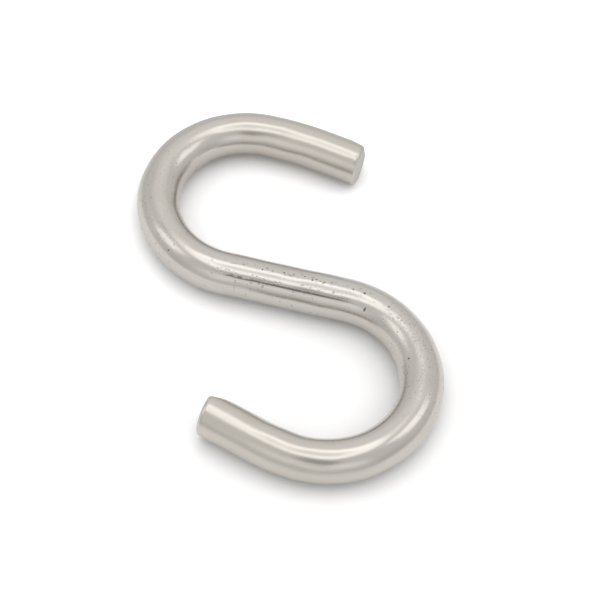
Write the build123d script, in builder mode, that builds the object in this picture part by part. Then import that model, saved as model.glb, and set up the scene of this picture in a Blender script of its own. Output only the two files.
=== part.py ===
from build123d import *
import os
from math import atan2, degrees, hypot

# The wire: one round bar, cropped to length and bent cold
wire_diameter = 5.0

# The straight that crosses from one hook to the other
middle_length = 14.2

# The upper hook, followed from the middle out to its end
upper_inside_radius = 8.15
upper_bend_angle = 180.0
upper_easing_radius = 36.5
upper_easing_angle = 10.0
upper_tip_length = 5.4
upper_crop_angle = 4.5
upper_flat_length = 2.4
upper_flat_depth = 0.55

# The lower hook, followed the same way, a little wider and bent further round
lower_inside_radius = 8.5
lower_bend_angle = 187.5
lower_easing_radius = 26.6
lower_easing_angle = 10.0
lower_tip_length = 6.15
lower_crop_angle = 8.0
lower_flat_length = 2.2
lower_flat_depth = 0.8

# What the cropping blades and the tumbling barrel leave on both ends
flat_rise_angle = 20.0
end_edge_radius = 0.5

wire_radius = wire_diameter / 2
upper_bend_radius = upper_inside_radius + wire_radius
lower_bend_radius = lower_inside_radius + wire_radius

# The bend centres lie on the Y axis, and the hook lies on its side on Z = 0.
bend_radii = upper_bend_radius + lower_bend_radius
middle_heading = -degrees(atan2(middle_length, bend_radii))
centre_distance = hypot(middle_length, bend_radii)
overall_length = centre_distance + bend_radii + wire_diameter
upper_centre = Vector(0, overall_length / 2 - wire_radius - upper_bend_radius, wire_radius)
across_middle = Vector(0, 1, 0).rotate(Axis.Z, middle_heading)
upper_shoulder = upper_centre - across_middle * upper_bend_radius

# Stock left on each tip for the blades, and how far every cut runs past the wire
crop_allowance = wire_radius
cut_overshoot = wire_radius
cut_width = wire_diameter + 2 * cut_overshoot

with BuildPart() as s_hook:
    with BuildLine() as centreline:
        middle = PolarLine(upper_shoulder, middle_length, middle_heading)
        upper_bend = JernArc(middle @ 0, -(middle % 0), upper_bend_radius, -upper_bend_angle)
        upper_easing = JernArc(upper_bend @ 1, upper_bend % 1, upper_easing_radius, -upper_easing_angle)
        upper_blank = upper_tip_length + crop_allowance
        upper_tip = Line(upper_easing @ 1, upper_easing @ 1 + (upper_easing % 1) * upper_blank)
        lower_bend = JernArc(middle @ 1, middle % 1, lower_bend_radius, -lower_bend_angle)
        lower_easing = JernArc(lower_bend @ 1, lower_bend % 1, lower_easing_radius, -lower_easing_angle)
        lower_blank = lower_tip_length + crop_allowance
        lower_tip = Line(lower_easing @ 1, lower_easing @ 1 + (lower_easing % 1) * lower_blank)
    with BuildSketch(Plane(origin=upper_tip @ 1, z_dir=-(upper_tip % 1))):
        Circle(wire_radius)
    sweep(path=centreline.wire())

    # One pair of blades crops both ends: each end face leans a little the same way,
    # and the blade presses one shallow flat into the wire beside it.
    ends = (
        (upper_tip, upper_tip_length, upper_crop_angle, 1, upper_flat_length, upper_flat_depth),
        (lower_tip, lower_tip_length, lower_crop_angle, -1, lower_flat_length, lower_flat_depth),
    )
    for tip, tip_length, crop_angle, flat_side, flat_length, flat_depth in ends:
        outward = tip % 1
        end_point = tip @ 0 + outward * tip_length
        with BuildSketch(Plane(origin=end_point, z_dir=outward.rotate(Axis.Z, crop_angle))):
            Rectangle(cut_width, cut_width)
        extrude(amount=crop_allowance + cut_overshoot, mode=Mode.SUBTRACT)

        # The flat starts at the skin of the wire and is deepest at the end face.
        sideways = outward.rotate(Axis.Z, 90) * flat_side
        tip_axis = Axis(origin=(0, 0, 0), direction=outward)
        flat_direction = sideways.rotate(tip_axis, flat_side * flat_rise_angle)
        overshoot_drop = cut_overshoot * flat_depth / flat_length
        flat_start = (-flat_length - cut_overshoot, wire_radius + overshoot_drop)
        flat_finish = (cut_overshoot, wire_radius - flat_depth - overshoot_drop)
        flat_outside = (cut_overshoot, wire_radius + overshoot_drop)
        with BuildSketch(Plane(origin=end_point, x_dir=outward, z_dir=outward.cross(flat_direction))):
            Polygon(flat_start, flat_finish, flat_outside, align=None)
        extrude(amount=wire_radius, both=True, mode=Mode.SUBTRACT)

        end_face = s_hook.faces().filter_by(GeomType.PLANE).sort_by_distance(end_point)[0]
        fillet(end_face.edges(), end_edge_radius)

s_hook.part.label = "s_hook"
os.makedirs("parts", exist_ok=True)
export_step(s_hook.part, "parts/s_hook.step")

wire_length = centreline.wire().length - 2 * crop_allowance
print("cropped wire length", round(wire_length, 2), "overall length", round(overall_length, 2))
print("volume", round(s_hook.part.volume, 2), "valid", s_hook.part.is_valid)
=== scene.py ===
# %% [markdown]
# S hook of bent steel wire
#
# The object is one length of round stainless wire, cropped to length, bent cold into two hooks and
# tumbled until its edges are soft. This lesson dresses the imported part: it sweeps a fine mesh along the
# wire, gives it a drawn and tumbled steel finish, and lights it in a white studio tent.
#
# The frame comes first. It holds the part's solids at their real size, and every later step takes its
# place from it, in metres.

# %% Load the frame
from math import atan2, cos, pi, radians, sin, tan

import bpy
import numpy as np
from mathutils import Matrix, Quaternion, Vector


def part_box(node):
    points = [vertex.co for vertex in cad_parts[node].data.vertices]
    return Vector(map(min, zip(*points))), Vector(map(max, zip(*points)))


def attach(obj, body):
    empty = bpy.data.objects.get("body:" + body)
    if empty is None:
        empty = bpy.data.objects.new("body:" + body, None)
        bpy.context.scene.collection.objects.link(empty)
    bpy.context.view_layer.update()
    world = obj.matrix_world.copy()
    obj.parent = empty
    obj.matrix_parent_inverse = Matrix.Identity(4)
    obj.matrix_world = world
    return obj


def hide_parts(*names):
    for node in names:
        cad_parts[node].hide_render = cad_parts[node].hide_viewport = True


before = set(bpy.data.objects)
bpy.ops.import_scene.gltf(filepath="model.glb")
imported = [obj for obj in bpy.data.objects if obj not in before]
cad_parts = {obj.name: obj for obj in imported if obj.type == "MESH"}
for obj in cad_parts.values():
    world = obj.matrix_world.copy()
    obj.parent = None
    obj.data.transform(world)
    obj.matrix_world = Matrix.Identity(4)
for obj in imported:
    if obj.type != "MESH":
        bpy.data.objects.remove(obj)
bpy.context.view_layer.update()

# %% [markdown]
# The shape of the wire
#
# A bent wire is a centre line and a section. The centre line here is a chain of straights and arcs, as
# the bending machine makes it: a tip, a gentle easing, the hook's bend, the straight middle, and the same
# again the other way. Each stretch is a length and a turn, so the line can be followed with sines and
# cosines. A curve object with a bevel would be quicker, but its ends would be flat discs and its surface
# would have no coordinates that run along the wire, and both matter for the cropped ends and the finish.

# %% Sizes of the wire
MM = 0.001
WIRE_RADIUS = 2.5 * MM
MIDDLE_LENGTH = 14.2 * MM
UPPER_BEND_RADIUS = 8.15 * MM + WIRE_RADIUS
LOWER_BEND_RADIUS = 8.5 * MM + WIRE_RADIUS
UPPER_BEND_ANGLE = radians(180)
LOWER_BEND_ANGLE = radians(187.5)
UPPER_EASING_RADIUS = 36.5 * MM
LOWER_EASING_RADIUS = 26.6 * MM
EASING_ANGLE = radians(10)
UPPER_TIP_LENGTH = 5.4 * MM
LOWER_TIP_LENGTH = 6.15 * MM

middle_heading = -atan2(MIDDLE_LENGTH, UPPER_BEND_RADIUS + LOWER_BEND_RADIUS)

# From the upper end to the lower end: a length and a turn, to the left where it is positive.
STRETCHES = (
    (UPPER_TIP_LENGTH, 0),
    (UPPER_EASING_RADIUS * EASING_ANGLE, EASING_ANGLE),
    (UPPER_BEND_RADIUS * UPPER_BEND_ANGLE, UPPER_BEND_ANGLE),
    (MIDDLE_LENGTH, 0),
    (LOWER_BEND_RADIUS * LOWER_BEND_ANGLE, -LOWER_BEND_ANGLE),
    (LOWER_EASING_RADIUS * EASING_ANGLE, -EASING_ANGLE),
    (LOWER_TIP_LENGTH, 0),
)
wire_length = sum(length for length, turn in STRETCHES)
print("wire length", round(wire_length / MM, 2), "mm")

# %% Follow the centre line


def centre_line(distances):
    """The centre line's points and headings at these distances from the upper end, on the level z = 0."""
    x, y = 0.0, 0.0
    heading = middle_heading - UPPER_BEND_ANGLE - EASING_ANGLE
    start = 0.0
    points = np.zeros((len(distances), 2))
    headings = np.zeros(len(distances))
    for length, turn in STRETCHES:
        here = distances >= start
        along = distances[here] - start
        if turn:
            curvature = turn / length
            at = heading + curvature * along
            points[here, 0] = x + (np.sin(at) - sin(heading)) / curvature
            points[here, 1] = y - (np.cos(at) - cos(heading)) / curvature
            headings[here] = at
            x += (sin(heading + turn) - sin(heading)) / curvature
            y -= (cos(heading + turn) - cos(heading)) / curvature
        else:
            points[here, 0] = x + cos(heading) * along
            points[here, 1] = y + sin(heading) * along
            headings[here] = heading
            x += cos(heading) * length
            y += sin(heading) * length
        heading += turn
        start += length
    return points, headings


end_points = centre_line(np.array([0, wire_length]))[0]
print("from end to end", (np.ptp(end_points, axis=0) / MM).round(2), "mm")

# %% [markdown]
# The cropped ends
#
# Cropping blades leave an end face that leans a little, and press a shallow flat into the wire beside
# it. The tumbling barrel then rounds every edge. A boolean cut and a bevel would do it, but they spoil
# the even rings of the sweep. Instead each angle round the wire has its own small profile: along the
# skin, which dips where the flat is, round the edge, and in over the face to the axis. Every profile has
# the same number of points, so the profiles join into rings.

# %% Sizes of the ends
RING_POINTS = 128
RING_STEP = 0.24 * MM
EDGE_RADIUS = 0.5 * MM
EDGE_STEPS = 8
FACE_STEPS = 10
END_REACH = 4.0 * MM
END_RINGS = 24
FLAT_RISE = radians(20)
CREASE_SOFTNESS = 0.04 * MM
CORNER_TRIES = 6

# Where the skin faces the flat by less than this, the flat can't reach it, and it counts as far out.
LEAST_FACING = 0.05
FAR_OUT = WIRE_RADIUS * 4

ends = {
    "upper": {"crop": radians(4.5), "side": 1, "length": 2.4 * MM, "depth": 0.55 * MM},
    "lower": {"crop": radians(8.0), "side": -1, "length": 2.2 * MM, "depth": 0.8 * MM},
}
angles = np.arange(RING_POINTS) * 2 * pi / RING_POINTS
print("points round the wire are", round(2 * pi * WIRE_RADIUS / RING_POINTS / MM, 3), "mm apart")

# %% Profile of an end


def soft_least(a, b, softness):
    """The lesser of two values, with the corner between them rounded."""
    return (a + b - np.sqrt((a - b) ** 2 + softness**2)) / 2


def skin_radius(out, facing, length, depth):
    """The skin's distance from the axis, at a place measured outwards from the end point."""
    level = WIRE_RADIUS - depth * (1 + out / length)
    flat = np.where(facing > LEAST_FACING, level / np.maximum(facing, LEAST_FACING), FAR_OUT)
    return soft_least(WIRE_RADIUS, flat, CREASE_SOFTNESS)


def end_profile(left, crop, side, length, depth):
    """Rings from the sound wire over the edge to the axis: how far out, how far from the axis."""
    up = np.sin(angles)
    facing = side * left * cos(FLAT_RISE) + up * sin(FLAT_RISE)
    lean = left * tan(crop)

    # The sharp corner between skin and face, found by going back and forth between them.
    corner_radius = np.full(RING_POINTS, WIRE_RADIUS)
    for _ in range(CORNER_TRIES):
        corner_out = -corner_radius * lean
        corner_radius = skin_radius(corner_out, facing, length, depth)
    slope = (corner_radius - skin_radius(corner_out - EDGE_RADIUS, facing, length, depth)) / EDGE_RADIUS
    skin_way = np.stack([np.ones(RING_POINTS), slope]) / np.hypot(1, slope)
    face_way = np.stack([lean, -np.ones(RING_POINTS)]) / np.hypot(1, lean)

    # The rounded edge leaves the skin and meets the face at the same distance from the corner.
    turn = np.arccos(np.clip((skin_way * face_way).sum(0), -1, 1))
    reach = EDGE_RADIUS * np.tan(turn / 2)
    corner = np.stack([corner_out, corner_radius])
    inward = np.stack([skin_way[1], -skin_way[0]])
    edge_start = corner - skin_way * reach

    rings = []
    for part in np.arange(END_RINGS) / END_RINGS:
        out = -END_REACH + (edge_start[0] + END_REACH) * part
        rings.append(np.stack([out, skin_radius(out, facing, length, depth)]))
    for part in np.arange(EDGE_STEPS + 1) / EDGE_STEPS:
        at = turn * part
        rings.append(edge_start + EDGE_RADIUS * (np.sin(at) * skin_way + (1 - np.cos(at)) * inward))
    edge_end = rings[-1]
    for part in np.arange(1, FACE_STEPS) / FACE_STEPS:
        rings.append(np.stack([edge_end[0] * (1 - part), edge_end[1] * (1 - part)]))
    return rings


print("rings in an end", len(end_profile(np.cos(angles), **ends["lower"])))

# %% [markdown]
# Waves in the skin
#
# Bending and tumbling leave the skin a little uneven, here by a few hundredths of a millimetre. The
# outline hardly shows it, but polished metal does, because a reflection moves by twice the tilt of the
# skin, and a perfect tube looks drawn by a computer. The height and the places of the waves are a guess
# that makes the reflections waver about as much as the picture's. A bump could tilt the light too, but a
# wave this long is shape, so it goes into the mesh. Sine waves that fit round the wire a whole number of
# times leave no seam.

# %% Waves
WAVES = 10
WAVE_HEIGHT = 0.006 * MM
LONGEST_WAVE = 16 * MM
SHORTEST_WAVE = 4 * MM
MOST_TURNS = 4
WAVE_SEED = 11


def skin_waves(along, angles):
    """How far the skin stands out, at places along the wire and round it. It is the same on every run."""
    random = np.random.default_rng(WAVE_SEED)
    height = 0
    for _ in range(WAVES):
        pitch = 2 * pi / random.uniform(SHORTEST_WAVE, LONGEST_WAVE)
        turns = random.integers(0, MOST_TURNS + 1)
        height = height + np.sin(pitch * along + turns * angles + random.uniform(0, 2 * pi))
    return height * WAVE_HEIGHT


sample = [skin_waves(along, angles) for along in np.linspace(0, wire_length, RING_POINTS)]
print("waves from", round(np.min(sample) / MM, 3), "to", round(np.max(sample) / MM, 3), "mm")

# %% [markdown]
# The mesh
#
# The rings go round the centre line from one end face to the other. Each point also keeps the place it
# had on the straight blank, before bending: how far along, and where across. Marks of drawing follow the
# wire round its bends, so the finish is painted in these coordinates and not in the room's.

# %% Sweep the wire


def ring_at(centre, heading, along, radius, out=0.0):
    """One ring of points round the centre line, and the same ring on the straight blank."""
    travel = np.array([cos(heading), sin(heading), 0])
    left = np.array([-sin(heading), cos(heading), 0])
    radius = radius * (1 + skin_waves(along, angles) / WIRE_RADIUS)
    level, up = radius * np.cos(angles), radius * np.sin(angles)
    points = np.append(centre, 0) + np.outer(out * np.ones(RING_POINTS), travel) + np.outer(level, left)
    points[:, 2] = up
    return points, np.stack([along * np.ones(RING_POINTS), level, up], 1)


def end_rings(name, start, heading, at, way):
    """One end's rings, in order from the sound wire to the axis."""
    profile = end_profile(np.cos(angles) * way, **ends[name])
    return [ring_at(start, heading, at + out * way, radius, out * way) for out, radius in profile]


def sweep_wire():
    """All rings from the upper end to the lower end, as points and as places on the blank."""
    tips, headings = centre_line(np.array([0, wire_length]))
    upper = end_rings("upper", tips[0], headings[0], 0, -1)
    lower = end_rings("lower", tips[1], headings[1], wire_length, 1)
    body = np.linspace(END_REACH, wire_length - END_REACH, int(wire_length / RING_STEP))[1:-1]
    sound = [ring_at(*place, WIRE_RADIUS) for place in zip(*centre_line(body), body)]
    points, blank = zip(*upper[::-1], *sound, *lower)
    return np.array(points), np.array(blank), tips


rings, blank, tips = sweep_wire()
print("rings", len(rings), "points in each", RING_POINTS)

# %% Join the rings


def wire_mesh(name, rings, blank, tips):
    """A closed mesh of quads between the rings, with a fan on each end face."""
    count = len(rings)
    vertices = [*rings.reshape(-1, 3), np.append(tips[0], 0), np.append(tips[1], 0)]
    upper_centre, lower_centre = count * RING_POINTS, count * RING_POINTS + 1
    faces = []
    for ring in range(count - 1):
        for point in range(RING_POINTS):
            after = (point + 1) % RING_POINTS
            here, there = ring * RING_POINTS, (ring + 1) * RING_POINTS
            faces.append((here + point, here + after, there + after, there + point))
    last = (count - 1) * RING_POINTS
    for point in range(RING_POINTS):
        after = (point + 1) % RING_POINTS
        faces.append((upper_centre, after, point))
        faces.append((lower_centre, last + point, last + after))
    mesh = bpy.data.meshes.new(name)
    mesh.from_pydata([tuple(v) for v in vertices], [], faces)
    mesh.polygons.foreach_set("use_smooth", [True] * len(mesh.polygons))
    places = [*blank.reshape(-1, 3), (0, 0, 0), (wire_length, 0, 0)]
    layer = mesh.attributes.new("blank", "FLOAT_VECTOR", "POINT")
    layer.data.foreach_set("vector", (np.array([tuple(p) for p in places]) / MM).ravel())

    # The end face counts as cropped, and the rounded edge as partly cropped.
    from_end = np.minimum(np.arange(count), count - 1 - np.arange(count))
    cropped = np.clip((FACE_STEPS - 1 + EDGE_STEPS - from_end) / EDGE_STEPS, 0, 1)
    layer = mesh.attributes.new("cropped", "FLOAT", "POINT")
    layer.data.foreach_set("value", np.append(np.repeat(cropped, RING_POINTS), (1, 1)))
    mesh.validate()
    return mesh


hook = bpy.data.objects.new("bent_wire", wire_mesh("bent_wire", rings, blank, tips))
bpy.context.scene.collection.objects.link(hook)

# The chain of stretches started anywhere, so the mesh is slid onto the part's own place.
corners = np.array([v.co for v in hook.data.vertices])
node_low, node_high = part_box("s_hook")
shift = (np.array(node_low) + np.array(node_high)) / 2 - (corners.min(0) + corners.max(0)) / 2
corners += shift
hook.data.vertices.foreach_set("co", corners.ravel())
hook.data.update()
print("mesh box", corners.min(0).round(5), corners.max(0).round(5), "faces", len(hook.data.polygons))

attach(hook, "root")
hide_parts("s_hook")

# %% [markdown]
# Shader sums
#
# A finish is mostly arithmetic on masks. This class wraps one socket of a node tree, so that a sum such
# as 1 - mask adds its Math node by itself. Any other node comes from one method, which sets the node up
# before it feeds its sockets.

# %% Sockets that can be added and multiplied


# How far a dot reaches from the middle of its cell: gone at the first, full at the second.
DOT_EDGE = (0.42, 0.22)


class Link:
    """One output in a node tree."""

    def __init__(self, tree, socket=None):
        self.tree = tree
        self.socket = socket

    def node(self, kind, settings=None, inputs=None, output=0):
        """Adds a node, sets it up, feeds its sockets by name or number and returns one output."""
        node = self.tree.nodes.new(kind)
        for name, value in (settings or {}).items():
            setattr(node, name, value)
        for name, value in (inputs or {}).items():
            self.feed(node.inputs[name], value)
        return Link(self.tree, node.outputs[output]) if node.outputs else Link(self.tree)

    def feed(self, socket, value):
        """Links a socket, or sets its value."""
        if isinstance(value, Link):
            self.tree.links.new(value.socket, socket)
        else:
            socket.default_value = value

    def output(self, name):
        """Another output of the same node."""
        return Link(self.tree, self.socket.node.outputs[name])

    def math(self, operation, *values):
        """A Math node on this value and others."""
        return self.node("ShaderNodeMath", {"operation": operation}, dict(enumerate((self, *values))))

    def vector(self, operation, *values, output=0):
        """A Vector Math node on this vector and others."""
        inputs = dict(enumerate((self, *values)))
        return self.node("ShaderNodeVectorMath", {"operation": operation}, inputs, output)

    def __add__(self, other):
        return self.math("ADD", other)

    def __sub__(self, other):
        return self.math("SUBTRACT", other)

    def __rsub__(self, other):
        return self.node("ShaderNodeMath", {"operation": "SUBTRACT"}, {0: other, 1: self})

    def __mul__(self, other):
        return self.math("MULTIPLY", other)

    __radd__ = __add__
    __rmul__ = __mul__

    def between(self, low, high):
        """0 below low, 1 above high, and smooth between them. With low above high it falls instead."""
        inputs = {"Value": self, "From Min": min(low, high), "From Max": max(low, high)}
        if low > high:
            inputs["To Min"], inputs["To Max"] = 1.0, 0.0
        return self.node("ShaderNodeMapRange", {"interpolation_type": "SMOOTHSTEP"}, inputs)

    def noise(self, stretch, detail=2.0):
        """Noise on this vector, with a number of features to the millimetre each way."""
        inputs = {"Vector": self.vector("MULTIPLY", stretch), "Scale": 1.0, "Detail": detail}
        return self.node("ShaderNodeTexNoise", {"noise_dimensions": "3D"}, inputs)

    def cells(self, stretch, low, high):
        """Round dots, one to a cell, faint where the cell's random number is near low, full above high."""
        inputs = {"Vector": self.vector("MULTIPLY", stretch), "Scale": 1.0}
        near = self.node("ShaderNodeTexVoronoi", {"feature": "F1"}, inputs)
        chance = near.output("Color").vector("DOT_PRODUCT", (1, 0, 0), output="Value")
        return near.between(*DOT_EDGE) * chance.between(low, high)

    def blend(self, first, second):
        """The colour between two others that this value picks. Sockets 6 and 7 are the colours."""
        settings = {"data_type": "RGBA", "blend_type": "MIX"}
        return self.node("ShaderNodeMix", settings, {0: self, 6: first, 7: second}, output=2)


def new_material(name):
    """An empty material and the start of its tree."""
    material = bpy.data.materials.new(name)
    material.use_nodes = True
    material.node_tree.nodes.clear()
    return material, Link(material.node_tree)


# %% [markdown]
# The drawn and tumbled steel
#
# Stainless wire leaves the drawing die with fine lines along its length. The tumbling barrel rubs them to
# a satin, but along the straight middle they stay plain to see, with rows of small pits that follow the
# lines. The bends were stretched and squeezed, so the metal there is duller and a little grained. An
# image of brushed metal would be the quick way, but it would show a seam and run straight across the
# bends. Noise on the blank's own coordinates, pulled out long, follows the wire everywhere. All heights
# below are in millimetres. They are judged by how rough the metal looks, as nothing here measures them.

# %% Places on the wire
steel, start = new_material("drawn_steel")
place = start.node("ShaderNodeAttribute", {"attribute_name": "blank"}, output="Vector")
cropped = start.node("ShaderNodeAttribute", {"attribute_name": "cropped"}, output="Fac")
parts = place.node("ShaderNodeSeparateXYZ", inputs={"Vector": place})
along = parts.output("X")

# The way round the wire in degrees from its top, to the left of travel where it is positive.
way_round = parts.output("Y").math("ARCTAN2", parts.output("Z")) * (180 / pi)
skin = place.node("ShaderNodeCombineXYZ", inputs={"X": along, "Y": way_round})

# Each part of the wire rises from nothing to full and falls again, in millimetres from the upper end.
MIDDLE_RISE, MIDDLE_FALL = (40, 46), (66, 58)
UPPER_BEND_RISE, UPPER_BEND_FALL = (16, 26), (44, 38)
LOWER_BEND_RISE, LOWER_BEND_FALL = (62, 66), (86, 74)
UPPER_TIP_FALL, LOWER_TIP_RISE = (24, 10), (84, 98)
UPPER_BEND_WEAR = 0.7

middle = along.between(*MIDDLE_RISE) * along.between(*MIDDLE_FALL)
lower_bend = along.between(*LOWER_BEND_RISE) * along.between(*LOWER_BEND_FALL)
upper_bend = along.between(*UPPER_BEND_RISE) * along.between(*UPPER_BEND_FALL)
near_tips = along.between(*UPPER_TIP_FALL) + along.between(*LOWER_TIP_RISE)
bends = upper_bend * UPPER_BEND_WEAR + lower_bend
print("nodes for the places", len(steel.node_tree.nodes))

# %% [markdown]
# Marks of use
#
# Each mark is where the wire shows it: a dark drawing scratch beside the highlight of the middle, which
# starts ragged and a little rusty, and whose dark line is partly a painted reflection, a nick across the
# wire where the lower bend begins, and a few single pits. Rows of finer pits run beside the highlight, and
# on over the start of the lower bend. The marks could be painted by hand on an unwrapped image. Here a
# single mark is an ellipse on the unrolled skin, so it takes only a place and a size, and the fine pits
# are the dots of a cell pattern, kept to ellipses too.

# %% Scratch, nick and pits


# A mark starts at its edge and is full from half its size inwards.
MARK_EDGE = (1.0, 0.5)


def mark(at, degrees, length, width):
    """An ellipse on the skin: along in millimetres, round in degrees, both from its middle to its edge."""
    offset = skin.vector("SUBTRACT", (at, degrees, 0)).vector("DIVIDE", (length, width, 1))
    return offset.vector("LENGTH", output="Value").between(*MARK_EDGE)


# Every ellipse below is along, round, half its length and half its width.
RAGGED_START = (47.4, -38, 2.8, 5)
SCRATCH_AND_REFLECTION = (54, -38.5, 8.5, 4.2)
NICK = (62.5, -42, 0.22, 8)
FAINT_PIT = (36.5, -15.5, 1.1, 1.6)
SINGLE_PITS = (
    (61.6, -1, 0.2, 4.5),
    (60.2, -1, 0.15, 3),
    (52.0, 4, 0.15, 3),
    (49.5, -2, 0.13, 3),
    (38.9, -48, 0.15, 3.5),
    (72.4, -37, 0.18, 4),
)
TOP_ROW = (54, 2, 14, 9)
SCRATCH_ROW = (52, -30, 13, 18)
BEND_ROW = (69, 3, 9, 26)

HALF_STRENGTH = 0.5
ROW_STRENGTH = 0.8
STRAY_STRENGTH = 0.4

# Features to the millimetre along the wire and across it, and the levels of noise that let them through.
RAGGED_FEATURES = (1.6, 3, 3)
ROW_CELLS = (2.2, 4.2, 4.2)
STRAY_CELLS = (2.2, 3.2, 3.2)
RAGGED_LEVELS, SCRATCH_LEVELS = (0.38, 0.50), (0.2, 0.4)
ROW_LEVELS, STRAY_LEVELS = (0.35, 0.6), (0.8, 0.9)

ragged = place.noise(RAGGED_FEATURES, detail=3)
ragged_start = mark(*RAGGED_START) * ragged.between(*RAGGED_LEVELS)
# The scratch is a groove, and its dark colour along the highlight's edge is partly a painted reflection.
scratch_and_reflection = mark(*SCRATCH_AND_REFLECTION) * ragged.between(*SCRATCH_LEVELS)
nick = mark(*NICK)
single_pits = mark(*FAINT_PIT) * HALF_STRENGTH
for pit in SINGLE_PITS:
    single_pits = single_pits + mark(*pit)

pit_rows = mark(*TOP_ROW) + mark(*SCRATCH_ROW) * HALF_STRENGTH + mark(*BEND_ROW) * HALF_STRENGTH
row_pits = place.cells(ROW_CELLS, *ROW_LEVELS) * pit_rows * ROW_STRENGTH
stray_pits = place.cells(STRAY_CELLS, *STRAY_LEVELS) * (middle + bends) * STRAY_STRENGTH
marks = row_pits + stray_pits + single_pits + ragged_start + scratch_and_reflection + nick
pits = marks.math("MINIMUM", 1.0)
print("single pits", len(SINGLE_PITS) + 1, "nodes so far", len(steel.node_tree.nodes))

# %% Steel finish
STEEL_MIDDLE = (0.581, 0.556, 0.522, 1)
STEEL_BENDS = (0.59, 0.556, 0.516, 1)
STEEL_TIPS = (0.591, 0.556, 0.505, 1)
STEEL_DUSKY = (0.50, 0.465, 0.415, 1)
STEEL_CROPPED = (0.58, 0.565, 0.535, 1)
PIT_BOTTOM = (0.13, 0.105, 0.085, 1)
RUSTY_BOTTOM = (0.17, 0.115, 0.095, 1)
LINE_HEIGHT = 0.0066
HAIR_HEIGHT = 0.002
GRAIN_HEIGHT = 0.008
PIT_DEPTH = 0.02
ROUGHNESS = 0.17

# What each height keeps outside the part of the wire where it is strongest.
LINES_ELSEWHERE = 0.03
HAIRS_ELSEWHERE = 0.25
GRAIN_ELSEWHERE = 0.3

# The levels of noise where the metal turns dusky, and how dusky each makes it.
DUSKY_HAIRS, DUSKY_CLOUDS, DUSKY_GRAIN = (0.45, 0.75), (0.5, 0.8), (0.5, 0.7)
HAIR_DUSK, CLOUD_DUSK, GRAIN_DUSK = 0.25, 0.35, 0.4
PIT_DARKNESS = 0.8

# What each adds to the roughness.
CLOUDS_ADD, BENDS_ADD, TIPS_ADD = 0.06, 0.05, 0.05
CROPPED_ADDS, PITS_ADD = 0.22, 0.3

# Features to the millimetre along the wire and across it.
LINE_FEATURES = (0.05, 2.6, 2.6)
HAIR_FEATURES = (0.12, 9, 9)
GRAIN_FEATURES = (4.5, 5, 5)
CLOUD_FEATURES = (0.22, 0.5, 0.5)

lines = place.noise(LINE_FEATURES)
hairs = place.noise(HAIR_FEATURES)
grain = place.noise(GRAIN_FEATURES)
clouds = place.noise(CLOUD_FEATURES, detail=3)

line_height = lines * (LINE_HEIGHT * (LINES_ELSEWHERE + middle))
hair_height = hairs * (HAIR_HEIGHT * (HAIRS_ELSEWHERE + middle))
grain_height = grain * (GRAIN_HEIGHT * (GRAIN_ELSEWHERE + bends))
height = line_height + hair_height + grain_height - pits * PIT_DEPTH
bump = place.node("ShaderNodeBump", inputs={"Strength": 1.0, "Distance": MM, "Height": height})

shade = near_tips.blend(middle.blend(STEEL_BENDS, STEEL_MIDDLE), STEEL_TIPS)
dusky = hairs.between(*DUSKY_HAIRS) * HAIR_DUSK + clouds.between(*DUSKY_CLOUDS) * CLOUD_DUSK
dusky = dusky + grain.between(*DUSKY_GRAIN) * bends * GRAIN_DUSK
shade = dusky.blend(shade, STEEL_DUSKY)
shade = cropped.blend(shade, STEEL_CROPPED)
pit_shade = ragged_start.blend(PIT_BOTTOM, RUSTY_BOTTOM)
# The scratch's share of this darkening is partly a painted reflection.
shade = (pits * PIT_DARKNESS).blend(shade, pit_shade)
worn = clouds * CLOUDS_ADD + bends * BENDS_ADD + near_tips * TIPS_ADD
roughness = ROUGHNESS + worn + cropped * CROPPED_ADDS + pits * PITS_ADD

shader = place.node(
    "ShaderNodeBsdfPrincipled",
    inputs={"Base Color": shade, "Metallic": 1.0, "Roughness": roughness, "Normal": bump},
)
shader.node("ShaderNodeOutputMaterial", inputs={"Surface": shader})
hook.data.materials.append(steel)
print("nodes in the steel", len(steel.node_tree.nodes))

# %% [markdown]
# The camera
#
# The picture looks down at the hook at about fifty-five degrees, with a long lens and a slight tilt to
# one side. The camera is placed by what it looks at, a point on the floor by the middle of the hook, and
# by its heading, its fall and its tilt. The numbers come from fitting the hook's outline to the picture.

# %% Camera
FOCUS = Vector((1.757 * MM, -0.365 * MM, 0))
CAMERA_DISTANCE = 254.8 * MM
CAMERA_HEADING = radians(24.18)
CAMERA_FALL = radians(54.904)
CAMERA_TILT = radians(5.011)
SENSOR_WIDTH = 36
LENS_LENGTH = 131.1

ahead = Vector((
    sin(CAMERA_HEADING) * cos(CAMERA_FALL),
    cos(CAMERA_HEADING) * cos(CAMERA_FALL),
    -sin(CAMERA_FALL),
))
camera = bpy.data.objects.new("camera", bpy.data.cameras.new("camera"))
camera.data.sensor_width = SENSOR_WIDTH
camera.data.lens = LENS_LENGTH
camera.data.clip_start = 10 * MM
camera.data.clip_end = 10
camera.rotation_mode = "QUATERNION"
camera.location = FOCUS - ahead * CAMERA_DISTANCE
camera.rotation_quaternion = ahead.to_track_quat("-Z", "Y") @ Quaternion((0, 0, 1), CAMERA_TILT)
bpy.context.scene.collection.objects.link(camera)
bpy.context.scene.camera = camera
print("camera at", [round(v, 4) for v in camera.location])

# %% [markdown]
# The studio
#
# Polished metal shows the room, so the lamps here are made for what the steel mirrors. A large round soft
# box hangs over the hook, brighter at its rim than in its middle, which gives the highlights their two
# lines, and two smaller boxes stand at the sides. Point lamps would be simpler, but they would show as
# dots. Each box takes its place and size as angles, because that is how a reflection gives them.

# %% Directions in the studio
TO_CAMERA = Vector((-sin(CAMERA_HEADING), -cos(CAMERA_HEADING), 0))
TO_RIGHT = Vector((cos(CAMERA_HEADING), -sin(CAMERA_HEADING), 0))
UP = Vector((0, 0, 1))
BOX_DISTANCE = 1.2


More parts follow.
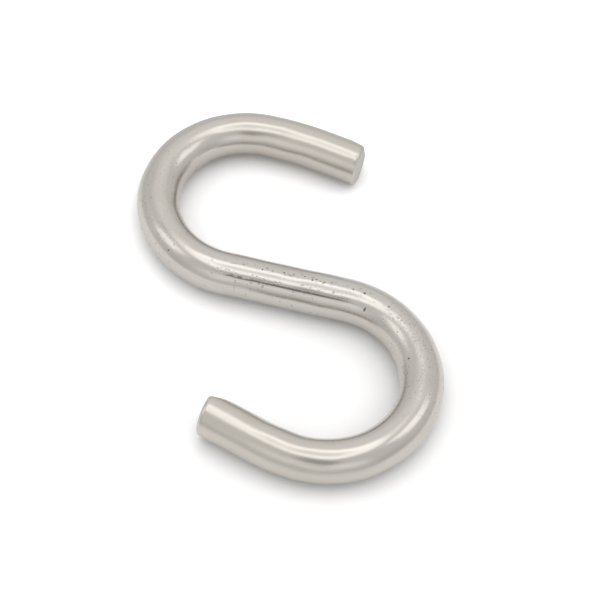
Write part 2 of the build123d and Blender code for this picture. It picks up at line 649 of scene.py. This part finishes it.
def direction(right, near):
    """A way out of the tent: degrees from straight up, to the camera's right and towards the camera."""
    zenith = radians((right**2 + near**2) ** 0.5)
    turn = atan2(right, near)
    return (TO_RIGHT * sin(turn) + TO_CAMERA * cos(turn)) * sin(zenith) + UP * cos(zenith)


print("level way to the camera", [round(v, 3) for v in TO_CAMERA])


def soft_box(name, shape, way, width, height, brightness):
    """A lamp that faces the hook, as wide and high as the angles say, and as bright whatever its size."""
    size = [2 * BOX_DISTANCE * tan(radians(angle) / 2) for angle in (width, height)]
    data = bpy.data.lights.new(name, "AREA")
    data.shape = shape
    data.size, data.size_y = size
    face = size[0] * size[1] * (pi / 4 if shape == "ELLIPSE" else 1)
    data.energy = brightness * pi * face
    lamp = bpy.data.objects.new(name, data)
    level = TO_RIGHT.cross(way).cross(way) * -1
    turned = Matrix((level, way.cross(level), way)).transposed()
    lamp.matrix_world = Matrix.Translation(way * BOX_DISTANCE) @ turned.to_4x4()
    lamp.visible_camera = False
    bpy.context.scene.collection.objects.link(lamp)
    return lamp


# %% Soft boxes
OVERHEAD_GLOW = 0.23
RIM_GLOW = 0.71
RIM_EDGE = (0.16, 0.27)

# Each box is its way, its width and height in degrees, and its brightness.
overhead = soft_box("overhead_box", "ELLIPSE", direction(-1, -3.5), 42.5, 47, 1.0)
left_box = soft_box("left_box", "RECTANGLE", direction(-46, 0), 33, 32, 0.38)
right_box = soft_box("right_box", "RECTANGLE", direction(42, -9), 32, 31, 0.44)

overhead.data.use_nodes = True
lamp_start = Link(overhead.data.node_tree)
glow = overhead.data.node_tree.nodes["Emission"]
on_face = lamp_start.node("ShaderNodeNewGeometry", output="Parametric")
from_middle = on_face.vector("SUBTRACT", (0.5, 0.5, 0)).vector("LENGTH", output="Value")
rim = from_middle.between(*RIM_EDGE)
lamp_start.feed(glow.inputs["Strength"], OVERHEAD_GLOW + rim * RIM_GLOW)
for lamp in (overhead, left_box, right_box):
    print(lamp.name, "energy", round(lamp.data.energy, 2), "width", round(lamp.data.size, 2), "m")

# %% [markdown]
# The tent
#
# Around the boxes is a tent of white cloth. The steel shows that its wall isn't even: there is a dark
# spot where the lens looks in, the back and the front are lighter, and the corners and the lower edge are
# a little darker. A sphere with an image on it would show the same. Soft round patches on the world are
# enough, and each is one direction and two angles. The camera itself sees plain white.

# %% Tent
TENT = 0.8
LENS_SPOT = 0.35
BACK_WALL = 0.17
FRONT_WALL = 0.27
CORNER_SHADE = 0.1
HORIZON_SHADE = 0.06

# A patch is degrees to the right and near, and the angles where it is full and where it has gone. The
# shade of the horizon goes by height instead, from none at the first sine to full at the second.
LENS = (0, 36, 7, 14)
BACK = (0, -42, 5, 38)
FRONT_LEFT, FRONT_RIGHT = (-24, 54, 4, 20), (24, 54, 4, 20)
FRONT_LOW = (0, 68, 4, 16)
LEFT_CORNER, RIGHT_CORNER = (-66, 38, 4, 22), (66, 38, 4, 22)
HORIZON = (0.28, 0.1)
FRONT_LOW_SHARE = 0.5

world = bpy.data.worlds.new("tent")
world.use_nodes = True
world.node_tree.nodes.clear()
bpy.context.scene.world = world
sky_start = Link(world.node_tree)
sky_way = sky_start.node("ShaderNodeTexCoord", output="Generated")


def toward(right, near, inner, outer):
    """A soft round patch of the tent's wall, full within the inner angle and gone at the outer one."""
    near_to = sky_way.vector("DOT_PRODUCT", tuple(direction(right, near)), output="Value")
    return near_to.between(cos(radians(outer)), cos(radians(inner)))


front = toward(*FRONT_LEFT) + toward(*FRONT_RIGHT) + toward(*FRONT_LOW) * FRONT_LOW_SHARE
dim_corners = toward(*LEFT_CORNER) + toward(*RIGHT_CORNER)
horizon = sky_way.vector("DOT_PRODUCT", tuple(UP), output="Value").between(*HORIZON)
wall = TENT + toward(*BACK) * BACK_WALL + front * FRONT_WALL
wall = wall - dim_corners * CORNER_SHADE - horizon * HORIZON_SHADE
brightness = wall - toward(*LENS) * (TENT - LENS_SPOT)
camera_ray = sky_start.node("ShaderNodeLightPath", output="Is Camera Ray")
strength = brightness + camera_ray * (1 - brightness)
sky = sky_start.node("ShaderNodeBackground", inputs={"Color": (1, 1, 1, 1), "Strength": strength})
sky.node("ShaderNodeOutputWorld", inputs={"Surface": sky})
print("nodes in the tent", len(world.node_tree.nodes))

# %% [markdown]
# The paper
#
# The hook lies on white paper, which keeps its shadow. In the picture the paper is white right up to the
# shadow, and the shadow is deep beside the wire and fades fast. Even paper gives a softer one. Changing
# the lamps would change the reflections too, so the paper's colour does it: it has one level for the light
# that it throws back, one for the camera, with a painted contact shadow that darkens it where the wire
# closes off the tent, and one for what the steel mirrors. The last two also slope a little across the
# floor, as the picture does, which is a painted fall of light.

# %% Paper
FLOOR_HALF = 1.5
PAPER = 0.8

# The camera's paper, from far on the left to near on the right, with a painted fall of light.
SEEN_BEHIND, SEEN_IN_FRONT = 1.3, 1.13
SEEN_SLOPE = (-25 * MM, 12 * MM)
NEAR_SHARE, RIGHT_SHARE = 0.8, 0.6

# Its painted contact shadow, from wholly closed off to wholly open, by what lies within this reach.
CLOSE_REACH = 14 * MM
CLOSED_SHADE, OPEN_SHADE = 0.6, 1.12
CLOSE_SAMPLES = 16

# The steel's paper, behind the hook, about it and far in front: a painted fall of light,
# darker behind the hook and far in front.
MIRRORED_BEHIND, MIRRORED_BESIDE, MIRRORED_FAR = 0.76, 1.07, 0.78
MIRRORED_RISE = (-32 * MM, -10 * MM)
MIRRORED_FALL = (22 * MM, 55 * MM)

floor_mesh = bpy.data.meshes.new("paper")
sides = ((-1, -1), (1, -1), (1, 1), (-1, 1))
floor_mesh.from_pydata([(x * FLOOR_HALF, y * FLOOR_HALF, 0) for x, y in sides], [], [(0, 1, 2, 3)])
floor = bpy.data.objects.new("paper", floor_mesh)
bpy.context.scene.collection.objects.link(floor)

paper, paper_start = new_material("paper")
seen = paper_start.node("ShaderNodeLightPath", output="Is Camera Ray")
mirrored = seen.output("Is Glossy Ray")
where = paper_start.node("ShaderNodeNewGeometry", output="Position")

near_and_right = TO_CAMERA * NEAR_SHARE + TO_RIGHT * RIGHT_SHARE
# A painted fall of light: the camera's paper darkens towards the near right.
painted_falloff = where.vector("DOT_PRODUCT", tuple(near_and_right), output="Value").between(*SEEN_SLOPE)
occlusion = {"samples": CLOSE_SAMPLES}, {"Distance": CLOSE_REACH}
# A painted contact shadow: the camera's paper darkens where the wire closes off the tent.
open_share = paper_start.node("ShaderNodeAmbientOcclusion", *occlusion, output="AO")
painted_contact_shadow = CLOSED_SHADE + open_share * (OPEN_SHADE - CLOSED_SHADE)
camera_sees = (SEEN_BEHIND + painted_falloff * (SEEN_IN_FRONT - SEEN_BEHIND)) * painted_contact_shadow

# A painted fall of light on the paper that the steel mirrors: darker behind the hook and far in front.
forward = where.vector("DOT_PRODUCT", tuple(TO_CAMERA), output="Value")
rise = forward.between(*MIRRORED_RISE) * (MIRRORED_BESIDE - MIRRORED_BEHIND)
fall = forward.between(*MIRRORED_FALL) * (MIRRORED_BESIDE - MIRRORED_FAR)
steel_sees = MIRRORED_BEHIND + rise - fall

paper_and_painted_shade = PAPER + seen * (camera_sees - PAPER) + mirrored * (steel_sees - PAPER)
diffuse = paper_start.node("ShaderNodeBsdfDiffuse", inputs={"Color": paper_and_painted_shade})
diffuse.node("ShaderNodeOutputMaterial", inputs={"Surface": diffuse})
floor_mesh.materials.append(paper)
print("paper", 2 * FLOOR_HALF, "m wide, nodes", len(paper.node_tree.nodes))

# %% Finish
bpy.context.scene.view_settings.view_transform = "Standard"
